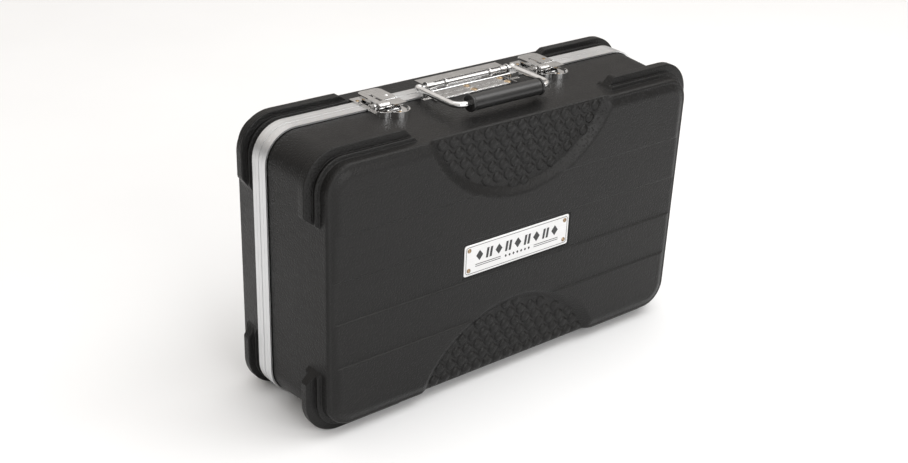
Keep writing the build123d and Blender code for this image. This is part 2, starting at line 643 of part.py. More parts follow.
def main():
    os.makedirs("parts", exist_ok=True)
    tongue = tongue_path(-1.0, 2.4, 3.4, 1.4, 60.0)
    groove = tongue_path(-1.0, 2.8, 3.4 - CLEAR, 1.4 + 2 * CLEAR, 58.0)
    export_part("front_shell", front_shell())
    export_part("rear_shell", rear_shell())
    export_part("front_valance", valance(-1) + tongue)
    export_part("rear_valance", valance(1) - groove)
    export_part("nameplate", nameplate())
    export_part("nameplate_rivets", nameplate_rivets())
    export_part("handle_base", handle_base())
    export_part("handle_base_rivets", handle_base_rivets())
    export_part("handle_bail", handle_bail())
    export_part("handle_grip", handle_grip())
    export_part("grip_end_caps", grip_end_caps())
    for name, x in (("left", -LATCH_X), ("right", LATCH_X)):
        export_part("latch_base_" + name, latch_base(x))
        export_part("latch_pin_" + name, latch_pin(x))
        export_part("latch_lever_" + name, latch_lever(x))
        export_part("latch_link_pin_" + name, link_pin(x))
        export_part("latch_hook_" + name, latch_hook(x))
        export_part("latch_hook_rivet_" + name, latch_hook_rivet(x))
        export_part("keeper_" + name, keeper(x))
    export_part("latch_base_rivets", latch_base_rivets(-LATCH_X) + latch_base_rivets(LATCH_X))
    export_part("keeper_rivets", keeper_rivets(-LATCH_X) + keeper_rivets(LATCH_X))
    for name, x in (("left", -HINGE_X), ("right", HINGE_X)):
        export_part("hinge_leaf_front_" + name, hinge_leaf(x, -1))
        export_part("hinge_leaf_rear_" + name, hinge_leaf(x, 1))
        export_part("hinge_pin_" + name, hinge_pin(x))
    export_part("hinge_rivets_front", hinge_rivets(-1))
    export_part("hinge_rivets_rear", hinge_rivets(1))
    export_part("lid_foam", lid_foam())
    export_part("base_foam_sheet", base_foam_sheet())
    export_part("base_foam_ring", base_foam_ring())
    export_part("board_rails", board_rails())
    export_part("board_side_left", board_side(-1))
    export_part("board_side_right", board_side(1))
    export_part("board_feet", board_feet())
    export_part("board_screws", board_screws())
    export_part("hook_loop_strips", hook_loop_strips())


main()
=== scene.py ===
"""Looks for the hard pedalboard case: moulded shells, chrome fittings, foam and a plain studio."""
import json
import math

import bmesh
import bpy
from mathutils import Matrix, Vector


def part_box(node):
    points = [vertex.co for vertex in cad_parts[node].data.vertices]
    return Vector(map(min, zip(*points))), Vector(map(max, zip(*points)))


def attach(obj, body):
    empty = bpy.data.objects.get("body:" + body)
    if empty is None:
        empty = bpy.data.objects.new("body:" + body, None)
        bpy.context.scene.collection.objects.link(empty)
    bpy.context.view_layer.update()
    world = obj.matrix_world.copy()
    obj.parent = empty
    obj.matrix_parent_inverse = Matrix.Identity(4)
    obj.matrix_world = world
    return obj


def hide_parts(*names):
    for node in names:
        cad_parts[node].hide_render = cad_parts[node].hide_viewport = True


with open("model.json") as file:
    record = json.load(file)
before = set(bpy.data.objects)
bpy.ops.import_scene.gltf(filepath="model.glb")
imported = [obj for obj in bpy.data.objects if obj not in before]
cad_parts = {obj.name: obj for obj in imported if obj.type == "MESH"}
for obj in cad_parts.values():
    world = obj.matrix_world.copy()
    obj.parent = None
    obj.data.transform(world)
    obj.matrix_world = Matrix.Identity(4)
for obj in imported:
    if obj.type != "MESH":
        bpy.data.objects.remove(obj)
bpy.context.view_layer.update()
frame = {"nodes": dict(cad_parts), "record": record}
MM = 0.001

# ---- places read from the CAD, in millimetres, with Y measured from the parting plane ----
VALANCE_LOW, VALANCE_HIGH = (Vector(v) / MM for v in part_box("front_valance"))
FRONT_LOW, FRONT_HIGH = (Vector(v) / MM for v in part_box("front_shell"))
REAR_LOW, REAR_HIGH = (Vector(v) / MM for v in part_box("rear_shell"))
MIDDLE_Z = (FRONT_LOW.z + FRONT_HIGH.z) / 2
FRAME_HALF_X = (VALANCE_HIGH.x - VALANCE_LOW.x) / 2
FRAME_HALF_Z = (VALANCE_HIGH.z - VALANCE_LOW.z) / 2
BUMPER_HALF_X = (FRONT_HIGH.x - FRONT_LOW.x) / 2
BUMPER_HALF_Z = (FRONT_HIGH.z - FRONT_LOW.z) / 2
SHELL_EDGE = 3.8              # the shells stop this far from the parting plane
PARTING_Y = FRONT_HIGH.y + SHELL_EDGE
FRONT_DEPTH = PARTING_Y - FRONT_LOW.y
REAR_DEPTH = REAR_HIGH.y - PARTING_Y

# ---- the aluminium frame ----
FRAME_RADIUS = 37.0
GROOVE_Y = 6.4                # fine grooves, each side of the parting plane
GROOVE_REACH = 0.6            # half width of the band that holds a groove
GROOVE_DEPTHS = (0.3, 0.6)    # a groove's floor lies between these depths
GROOVE_LIFT = 0.3

# ---- shapes that the shells share ----
MOUTH_INSET = 1.9             # shell's edge inside the frame's outside
MOUTH_RADIUS = 35.1
RIM_RADIUS = 30.0
EDGE_RADIUS = 3.0             # rounding between a side wall and a panel
RIM_SHOULDER = 1.6            # flat shoulder before the panel's bevel rises
BEVEL_SLOPE = 0.42
PANEL_RISE = 3.3              # panel's outer bands above the shoulder
PANEL_STEP = 1.35
STEP_SPREAD = 1.7
STEP_HEIGHTS = (24.0, 75.2)   # half heights of the panel's inner and outer steps
BUMPER_RADIUS = 40.0
BUMPER_WIDTH = 10.4
LEDGE_WIDTH = 5.6
BUMPER_END_X = 146.0
BUMPER_END_Z = 94.5
BUMPER_CHAMFER = 12.0
BUMPER_CORNER = 6.0           # a bumper's full height starts this far before its corner
WALL = 3.0
CORNER_STEPS = 18
ROUND_STEPS = 5
FINE_PITCH = 1.4              # grid of the front panel
COARSE_PITCH = 3.0

POCKET_HALF_X = 77.4          # pocket that the name plate lies in
POCKET_HALF_Z = 20.4
POCKET_DEPTH = 0.9
RECESS_CENTRE = 203.5
RECESS_FLOOR_RADIUS = 131.0
RECESS_DEPTH = 8.0
RECESS_SLOPE = 8.0 / 11.5
STUD_PITCH = 15.3
STUD_RADIUS = 6.6
STUD_HEIGHT = 2.6
STUD_FIRST_ROW = 73.8
STUD_ROWS = 6
STUD_SIDES = 20
STUD_SUNK = 0.15              # studs start this far inside the recess floor
INK_LIFT = 0.08               # the print stands this far off the plate
FOAM_PITCH = 30.0             # spacing of the foam's peaks
FOAM_RADIUS = 24.0

# ---- studio: the camera was solved from the photograph's straight edges ----
FLOOR_HALF = 6.0
SKY = [(0.0, 0.45, 0.0), (0.12, 0.12, 0.0), (0.3, 0.42, 0.05), (0.46, 0.86, 0.06), (0.8, 0.95, 0.03)]
SOFTBOXES = [                 # name, place, aim, width, height, power
    ("top_softbox", (0.3, 0.1, 2.2), (0, 0, 0.2), 1.8, 1.6, 6),
    ("edge_softbox", (1.05, -0.78, 1.95), (0, 0, 0.25), 1.2, 1.2, 15),
    ("front_softbox", (-0.05, -1.95, 1.0), (0, 0, 0.2), 1.6, 0.9, 20),
]
CAMERA_RIGHT = Vector((0.7866, -0.6165, 0.0335))
CAMERA_UP = Vector((0.2575, 0.3768, 0.8898))
CAMERA_BACK = Vector((-0.5612, -0.6913, 0.4552))
CAMERA_PLACE = Vector((-0.8725, -1.0551 + PARTING_Y * MM, 0.6343 + MIDDLE_Z * MM))
CAMERA_LENS = 51.67
CAMERA_SHIFT = (0.0113, 0.0320)


def smooth_min(a, b, width):
    """The smaller of two values, rounded where they cross."""
    h = max(width - abs(a - b), 0.0) / width
    return min(a, b) - h * h * width * 0.25


def smooth_max(a, b, width):
    return -smooth_min(-a, -b, width)


def ease(t):
    t = min(max(t, 0.0), 1.0)
    return t * t * (3 - 2 * t)


def link(name, mesh, material, body, smooth=True):
    """A new piece that rides on a CAD body."""
    piece = bpy.data.objects.new(name, mesh)
    bpy.context.scene.collection.objects.link(piece)
    mesh.materials.append(material)
    if smooth:
        mesh.shade_smooth()
    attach(piece, body)
    return piece


def mesh_from(name, points, faces):
    """A mesh from points in millimetres."""
    mesh = bpy.data.meshes.new(name)
    mesh.from_pydata([(x * MM, y * MM, z * MM) for x, y, z in points], [], faces)
    mesh.validate()
    mesh.update()
    return mesh


def outward(mesh):
    """Turns every face outwards."""
    work = bmesh.new()
    work.from_mesh(mesh)
    bmesh.ops.recalc_face_normals(work, faces=work.faces)
    work.to_mesh(mesh)
    work.free()


def merged_copy(node):
    """A copy of a CAD node's mesh with its flat faces joined up and no material."""
    mesh = frame["nodes"][node].data.copy()
    work = bmesh.new()
    work.from_mesh(mesh)
    bmesh.ops.remove_doubles(work, verts=work.verts, dist=1e-6)
    bmesh.ops.dissolve_limit(work, angle_limit=math.radians(0.5), verts=work.verts, edges=work.edges)
    work.to_mesh(mesh)
    work.free()
    mesh.materials.clear()
    return mesh


def flat_faces(piece):
    """Keeps large faces flat under smooth shading."""
    flat = piece.modifiers.new("flat_faces", "WEIGHTED_NORMAL")
    flat.weight = 60
    flat.mode = "FACE_AREA_WITH_ANGLE"


def round_edges(piece, width, segments, degrees):
    """Rounds every edge sharper than an angle."""
    edge = piece.modifiers.new("edges", "BEVEL")
    edge.width = width * MM
    edge.segments = segments
    edge.limit_method = "ANGLE"
    edge.angle_limit = math.radians(degrees)
    flat_faces(piece)


# ---- materials ----
def new_material(name):
    material = bpy.data.materials.new(name)
    material.use_nodes = True
    nodes = material.node_tree.nodes
    nodes.clear()
    output = nodes.new("ShaderNodeOutputMaterial")
    shader = nodes.new("ShaderNodeBsdfPrincipled")
    material.node_tree.links.new(shader.outputs["BSDF"], output.inputs["Surface"])
    return material, shader


class Graph:
    """Short calls that add nodes to one material."""

    def __init__(self, material):
        self.tree = material.node_tree
        self.coord = self.tree.nodes.new("ShaderNodeTexCoord").outputs["Object"]

    def join(self, source, target):
        self.tree.links.new(source, target)

    def mapped(self, scale):
        node = self.tree.nodes.new("ShaderNodeMapping")
        node.inputs["Scale"].default_value = scale
        self.join(self.coord, node.inputs["Vector"])
        return node.outputs["Vector"]

    def noise(self, scale, detail=3.0, rough=0.5, vector=None):
        node = self.tree.nodes.new("ShaderNodeTexNoise")
        node.inputs["Scale"].default_value = scale
        node.inputs["Detail"].default_value = detail
        node.inputs["Roughness"].default_value = rough
        self.join(vector if vector is not None else self.coord, node.inputs["Vector"])
        return node.outputs["Fac"]

    def cells(self, scale):
        node = self.tree.nodes.new("ShaderNodeTexVoronoi")
        node.inputs["Scale"].default_value = scale
        self.join(self.coord, node.inputs["Vector"])
        return node.outputs["Distance"]

    def ramp(self, source, stops):
        node = self.tree.nodes.new("ShaderNodeValToRGB")
        elements = node.color_ramp.elements
        while len(elements) < len(stops):
            elements.new(0.5)
        for element, (place, colour) in zip(elements, stops):
            element.position = place
            element.color = (*colour, 1.0)
        self.join(source, node.inputs["Fac"])
        return node.outputs["Color"]

    def span(self, source, low, high, out_low, out_high):
        node = self.tree.nodes.new("ShaderNodeMapRange")
        node.inputs["From Min"].default_value = low
        node.inputs["From Max"].default_value = high
        node.inputs["To Min"].default_value = out_low
        node.inputs["To Max"].default_value = out_high
        self.join(source, node.inputs["Value"])
        return node.outputs["Result"]

    def math(self, operation, a, b):
        node = self.tree.nodes.new("ShaderNodeMath")
        node.operation = operation
        for socket, value in zip(node.inputs, (a, b)):
            if isinstance(value, (int, float)):
                socket.default_value = value
            else:
                self.join(value, socket)
        return node.outputs["Value"]

    def bump(self, height, distance, strength):
        node = self.tree.nodes.new("ShaderNodeBump")
        node.inputs["Strength"].default_value = strength
        node.inputs["Distance"].default_value = distance
        self.join(height, node.inputs["Height"])
        return node.outputs["Normal"]


def grey(value, warmth=0.0):
    return (value * (1 + warmth), value, value * (1 - warmth))


def plastic_material():
    """Black moulded sheet with a fine pebble grain, paler where it has been rubbed."""
    material, shader = new_material("shell_plastic")
    g = Graph(material)
    grain = g.cells(430.0)
    fine = g.noise(1100.0, 2.0)
    haze = g.noise(9.0, 5.0, 0.6)
    scuffs = g.noise(60.0, 6.0, 0.75, g.mapped((1.0, 1.0, 2.6)))
    height = g.math("ADD", g.span(grain, 0.0, 0.55, 0.0, 1.0), g.math("MULTIPLY", fine, 0.4))
    colour = g.ramp(haze, [(0.3, grey(0.0035, 0.04)), (0.7, grey(0.0060, 0.06))])
    g.join(colour, shader.inputs["Base Color"])
    rough = g.math("ADD", g.span(haze, 0.3, 0.7, 0.40, 0.46), g.span(scuffs, 0.45, 0.75, -0.03, 0.06))
    g.join(rough, shader.inputs["Roughness"])
    g.join(g.bump(height, 0.00045, 0.7), shader.inputs["Normal"])
    shader.inputs["Specular IOR Level"].default_value = 0.27
    return material


def aluminium_material():
    """Satin extrusion with die lines along its length."""
    material, shader = new_material("frame_aluminium")
    g = Graph(material)
    lines = g.noise(1.0, 3.0, 0.6, g.mapped((5.0, 1500.0, 5.0)))
    patches = g.noise(30.0, 4.0, 0.6)
    g.join(g.ramp(lines, [(0.3, grey(0.70, -0.01)), (0.7, grey(0.73, -0.01))]), shader.inputs["Base Color"])
    g.join(g.math("ADD", g.span(lines, 0.3, 0.7, 0.36, 0.44), g.span(patches, 0.3, 0.7, -0.03, 0.05)),
           shader.inputs["Roughness"])
    g.join(g.bump(lines, 0.00002, 0.5), shader.inputs["Normal"])
    shader.inputs["Metallic"].default_value = 1.0
    return material


def chrome_material():
    """Bright plating with faint ripple and fingerprints."""
    material, shader = new_material("chrome")
    g = Graph(material)
    prints = g.noise(140.0, 5.0, 0.65)
    ripple = g.noise(260.0, 2.0)
    g.join(g.ramp(prints, [(0.35, grey(0.68)), (0.65, grey(0.78))]), shader.inputs["Base Color"])
    g.join(g.span(prints, 0.35, 0.7, 0.07, 0.17), shader.inputs["Roughness"])
    g.join(g.bump(ripple, 0.0001, 0.35), shader.inputs["Normal"])
    shader.inputs["Metallic"].default_value = 1.0
    return material


def steel_material():
    """Dull zinc plating."""
    material, shader = new_material("steel")
    g = Graph(material)
    spangle = g.cells(420.0)
    clouds = g.noise(90.0, 5.0, 0.6)
    g.join(g.ramp(clouds, [(0.3, grey(0.42, 0.02)), (0.7, grey(0.56, 0.02))]), shader.inputs["Base Color"])
    g.join(g.span(spangle, 0.0, 0.6, 0.28, 0.42), shader.inputs["Roughness"])
    g.join(g.bump(spangle, 0.00004, 0.4), shader.inputs["Normal"])
    shader.inputs["Metallic"].default_value = 1.0
    return material


def brass_material():
    """Brass-plated rivets, tarnished in patches."""
    material, shader = new_material("rivet_brass")
    g = Graph(material)
    tarnish = g.noise(420.0, 5.0, 0.7)
    colour = g.ramp(tarnish, [(0.35, (0.20, 0.13, 0.075)), (0.62, (0.42, 0.33, 0.22))])
    g.join(colour, shader.inputs["Base Color"])
    g.join(g.span(tarnish, 0.3, 0.7, 0.38, 0.20), shader.inputs["Roughness"])
    g.join(g.bump(tarnish, 0.00006, 0.5), shader.inputs["Normal"])
    shader.inputs["Metallic"].default_value = 1.0
    return material


def grip_material():
    """Smooth satin black plastic."""
    material, shader = new_material("grip_plastic")
    g = Graph(material)
    rub = g.noise(50.0, 5.0, 0.6)
    fine = g.noise(1800.0, 2.0)
    g.join(g.ramp(rub, [(0.3, grey(0.012)), (0.7, grey(0.018))]), shader.inputs["Base Color"])
    g.join(g.span(rub, 0.3, 0.7, 0.27, 0.38), shader.inputs["Roughness"])
    g.join(g.bump(fine, 0.00005, 0.4), shader.inputs["Normal"])
    return material


def plate_material():
    """Pale brushed metal of the name plate."""
    material, shader = new_material("plate_metal")
    g = Graph(material)
    brush = g.noise(1.0, 4.0, 0.7, g.mapped((30.0, 30.0, 2400.0)))
    g.join(g.ramp(brush, [(0.3, grey(0.66)), (0.7, grey(0.80))]), shader.inputs["Base Color"])
    g.join(g.span(brush, 0.3, 0.7, 0.30, 0.44), shader.inputs["Roughness"])
    g.join(g.bump(brush, 0.00004, 0.5), shader.inputs["Normal"])
    shader.inputs["Metallic"].default_value = 0.75
    return material


def ink_material():
    """Dark enamel print on the name plate."""
    material, shader = new_material("plate_print")
    g = Graph(material)
    wear = g.noise(600.0, 4.0, 0.6)
    g.join(g.ramp(wear, [(0.3, grey(0.012)), (0.75, grey(0.03))]), shader.inputs["Base Color"])
    g.join(g.span(wear, 0.3, 0.7, 0.32, 0.5), shader.inputs["Roughness"])
    return material


def foam_material():
    """Open-cell charcoal foam, painted darker in its pores as shade."""
    material, shader = new_material("foam")
    g = Graph(material)
    pores_and_pit_shade = g.cells(900.0)
    clouds = g.noise(40.0, 5.0, 0.6)
    # the colour is darkest at the pore centres: painted shade in the pits that the bump below sinks
    g.join(g.ramp(pores_and_pit_shade, [(0.0, grey(0.012)), (0.5, grey(0.045))]), shader.inputs["Base Color"])
    g.join(g.span(clouds, 0.3, 0.7, 0.86, 0.98), shader.inputs["Roughness"])
    g.join(g.bump(pores_and_pit_shade, 0.0004, 0.9), shader.inputs["Normal"])
    shader.inputs["Sheen Weight"].default_value = 0.25
    return material


def powder_material():
    """Black powder coat with orange peel."""
    material, shader = new_material("board_aluminium")
    g = Graph(material)
    peel = g.noise(900.0, 3.0, 0.6)
    rub = g.noise(35.0, 5.0, 0.6)
    g.join(g.ramp(rub, [(0.3, grey(0.018)), (0.7, grey(0.03))]), shader.inputs["Base Color"])
    g.join(g.span(rub, 0.3, 0.7, 0.36, 0.5), shader.inputs["Roughness"])
    g.join(g.bump(peel, 0.00012, 0.7), shader.inputs["Normal"])
    return material


def rubber_material():
    """Dusty black rubber of the board's feet."""
    material, shader = new_material("foot_rubber")
    g = Graph(material)
    dust = g.noise(120.0, 5.0, 0.7)
    g.join(g.ramp(dust, [(0.35, grey(0.014)), (0.7, grey(0.035))]), shader.inputs["Base Color"])
    g.join(g.span(dust, 0.3, 0.7, 0.6, 0.8), shader.inputs["Roughness"])
    g.join(g.bump(dust, 0.0001, 0.6), shader.inputs["Normal"])
    return material


def hook_material():
    """Black hook tape: dense rows of tiny hooks."""
    material, shader = new_material("hook_fabric")
    g = Graph(material)
    hooks = g.cells(1100.0)
    rows = g.noise(1.0, 2.0, 0.5, g.mapped((60.0, 60.0, 900.0)))
    g.join(g.ramp(hooks, [(0.0, grey(0.05)), (0.55, grey(0.008))]), shader.inputs["Base Color"])
    g.join(g.span(rows, 0.3, 0.7, 0.6, 0.85), shader.inputs["Roughness"])
    g.join(g.bump(hooks, 0.0005, 1.0), shader.inputs["Normal"])
    shader.inputs["Sheen Weight"].default_value = 0.3
    return material


MATERIALS = {
    "shell_plastic": plastic_material(),
    "frame_aluminium": aluminium_material(),
    "chrome": chrome_material(),
    "rivet_brass": brass_material(),
    "plate_metal": plate_material(),
    "steel": steel_material(),
    "grip_plastic": grip_material(),
    "foam": foam_material(),
    "board_aluminium": powder_material(),
    "foot_rubber": rubber_material(),
    "hook_fabric": hook_material(),
}
INK = ink_material()


def paint_nodes():
    """Gives each CAD node the procedural material of its slot."""
    for row in frame["record"]["subparts"]:
        mesh = frame["nodes"][row["node"]].data
        mesh.materials.clear()
        mesh.materials.append(MATERIALS[row["material_slot"]])


HARDWARE = {                  # node: body, width of its rounded edges in millimetres
    "handle_base": ("lid_half", 0.35), "handle_bail": ("handle", 0.3), "grip_end_caps": ("handle", 0.3),
    "handle_grip": ("handle", 0.3),
    "latch_base_left": ("lid_half", 0.25), "latch_base_right": ("lid_half", 0.25),
    "latch_lever_left": ("latch_lever_left", 0.3), "latch_lever_right": ("latch_lever_right", 0.3),
    "latch_hook_left": ("latch_hook_left", 0.3), "latch_hook_right": ("latch_hook_right", 0.3),
    "keeper_left": ("base_half", 0.25), "keeper_right": ("base_half", 0.25),
    "hinge_leaf_front_left": ("lid_half", 0.25), "hinge_leaf_front_right": ("lid_half", 0.25),
    "hinge_leaf_rear_left": ("base_half", 0.25), "hinge_leaf_rear_right": ("base_half", 0.25),
    "front_valance": ("lid_half", 0.25), "rear_valance": ("base_half", 0.25), "nameplate": ("lid_half", 0.2),
    "board_side_left": ("base_half", 0.6), "board_side_right": ("base_half", 0.6),
    "board_rails": ("base_half", 0.4), "board_feet": ("base_half", 0.8),
}


def soften(node, body, width):
    """Stands a copy of a CAD node in for it, with small rounded edges that catch the light."""
    slot = next(row["material_slot"] for row in frame["record"]["subparts"] if row["node"] == node)
    piece = link(node + "_finished", merged_copy(node), MATERIALS[slot], body)
    round_edges(piece, width, 2, 38)
    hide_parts(node)


def soften_hardware():
    for node, (body, width) in HARDWARE.items():
        soften(node, body, width)
    for node in ("front_valance", "rear_valance"):
        shallow_grooves(bpy.data.objects[node + "_finished"].data)


def shallow_grooves(mesh):
    """Raises the floors of the frame's two fine grooves until only a faint line is left."""
    centre_x, centre_z = FRAME_HALF_X - FRAME_RADIUS, FRAME_HALF_Z - FRAME_RADIUS
    for vertex in mesh.vertices:
        x, y, z = vertex.co / MM
        dx, dz = max(abs(x) - centre_x, 0.0), max(abs(z - MIDDLE_Z) - centre_z, 0.0)
        reach = math.hypot(dx, dz)
        depth = FRAME_RADIUS - reach
        in_groove = abs(abs(y - PARTING_Y) - GROOVE_Y) < GROOVE_REACH
        if in_groove and GROOVE_DEPTHS[0] < depth < GROOVE_DEPTHS[1]:
            lift = GROOVE_LIFT / reach
            vertex.co.x += math.copysign(dx * lift, x) * MM
            vertex.co.z += math.copysign(dz * lift, z - MIDDLE_Z) * MM


# ---- shells ----
class Half:
    """Sizes of one moulded half. Depth u is measured from the parting plane outwards."""

    def __init__(self, side, depth, rim_half_x, rim_half_z, bumper_at, recessed, inner_floor):
        self.side = side
        self.inner_floor = inner_floor
        self.depth = depth
        self.shoulder = depth - PANEL_RISE
        self.rim = (rim_half_x, rim_half_z)
        self.mouth = (FRAME_HALF_X - MOUTH_INSET, FRAME_HALF_Z - MOUTH_INSET)
        self.bumper_at = bumper_at
        self.recessed = recessed

    def outline(self, u, inset=0.0):
        """Half length, half height and corner radius of the side wall at depth u."""
        t = (u - SHELL_EDGE) / (self.shoulder - SHELL_EDGE)
        half_x = self.mouth[0] + (self.rim[0] - self.mouth[0]) * t - inset
        half_z = self.mouth[1] + (self.rim[1] - self.mouth[1]) * t - inset
        radius = MOUTH_RADIUS + (RIM_RADIUS - MOUTH_RADIUS) * t - inset
        return half_x, half_z, radius

    def place(self, x, u, z):
        return (x, PARTING_Y + self.side * u, MIDDLE_Z + z)


def on_outline(mark, shape):
    """A point on a rounded rectangle. mark is (sign of x, sign of z, arc angle or None, share of a side)."""
    half_x, half_z, radius = shape
    sx, sz, angle, along = mark
    cx, cz = half_x - radius, half_z - radius
    if angle is None:
        if sx:
            return (sx * half_x, along * cz)
        return (along * cx, sz * half_z)
    return (sx * (cx + radius * math.cos(angle)), sz * (cz + radius * math.sin(angle)))


def inset_of(x, z, half):
    """Distance of a point inside the panel's rounded outline."""
    half_x, half_z, radius = half.outline(half.shoulder)
    dx = abs(x) - (half_x - radius)
    dz = abs(z) - (half_z - radius)
    outside = math.hypot(max(dx, 0.0), max(dz, 0.0)) + min(max(dx, dz), 0.0)
    return radius - outside


def recess_depth(x, z, half):
    """Depth u of the recess surface at a point; beyond the panel where there is no recess."""
    if not half.recessed:
        return half.depth + 50
    reach = math.hypot(x, RECESS_CENTRE - abs(z)) - RECESS_FLOOR_RADIUS
    floor = half.depth - RECESS_DEPTH
    return smooth_max(floor, floor + reach * RECESS_SLOPE, 1.2)


def panel_depth(x, z, half):
    """Depth u of the panel: shoulder, bevel, stepped bands and recesses."""
    inset = inset_of(x, z, half)
    band = half.depth
    for height in STEP_HEIGHTS:
        band -= PANEL_STEP * (1 - ease((abs(z) - height) / STEP_SPREAD + 0.5))
    rise = half.shoulder + BEVEL_SLOPE * max(inset - EDGE_RADIUS - RIM_SHOULDER, 0.0)
    top = smooth_min(rise, band, 1.0)
    if half.recessed and abs(x) < POCKET_HALF_X and abs(z) < POCKET_HALF_Z:
        top -= POCKET_DEPTH
    return smooth_min(top, recess_depth(x, z, half), 1.4)


def grid_lines(half_size, pitch, marks):
    """Symmetric grid lines, even between the marked places."""
    stops = sorted(set([0.0, half_size] + [m for m in marks if 0 < m < half_size]))
    lines = [0.0]
    for a, b in zip(stops, stops[1:]):
        count = max(1, math.ceil((b - a) / pitch))
        lines += [a + (b - a) * i / count for i in range(1, count + 1)]
    return [-v for v in reversed(lines[1:])] + lines


def bumper_profile():
    """(offset from the bumper's middle, height share) down one side, from the plateau outwards."""
    half = BUMPER_WIDTH / 2
    edge = half + LEDGE_WIDTH
    return [(half - 1.3, 1.0), (half - 0.6, 0.98), (half - 0.15, 0.93), (half + 0.1, 0.83),
            (half + 0.35, 0.5), (half + 0.55, 0.32), (half + 0.8, 0.28), (half + 1.4, 0.29),
            (edge - 1.6, 0.34), (edge - 1.0, 0.345), (edge - 0.45, 0.32), (edge - 0.1, 0.26),
            (edge + 0.15, 0.12), (edge + 0.4, 0.02), (edge + 0.9, 0.0)]


def bumper_share(x, z):
    """How far a bumper has risen at a place round the case: 1 near corners, 0 along the sides."""
    over_x = (abs(x) - BUMPER_END_X + BUMPER_CHAMFER) / BUMPER_CHAMFER
    over_z = (abs(z) - BUMPER_END_Z + BUMPER_CHAMFER) / BUMPER_CHAMFER
    past_x = abs(x) > BUMPER_HALF_X - BUMPER_RADIUS
    past_z = abs(z) > BUMPER_HALF_Z - BUMPER_RADIUS - BUMPER_CORNER
    if past_x and past_z:
        return 1.0
    value = over_x if past_z else over_z
    return min(max(value, 0.0), 1.0)


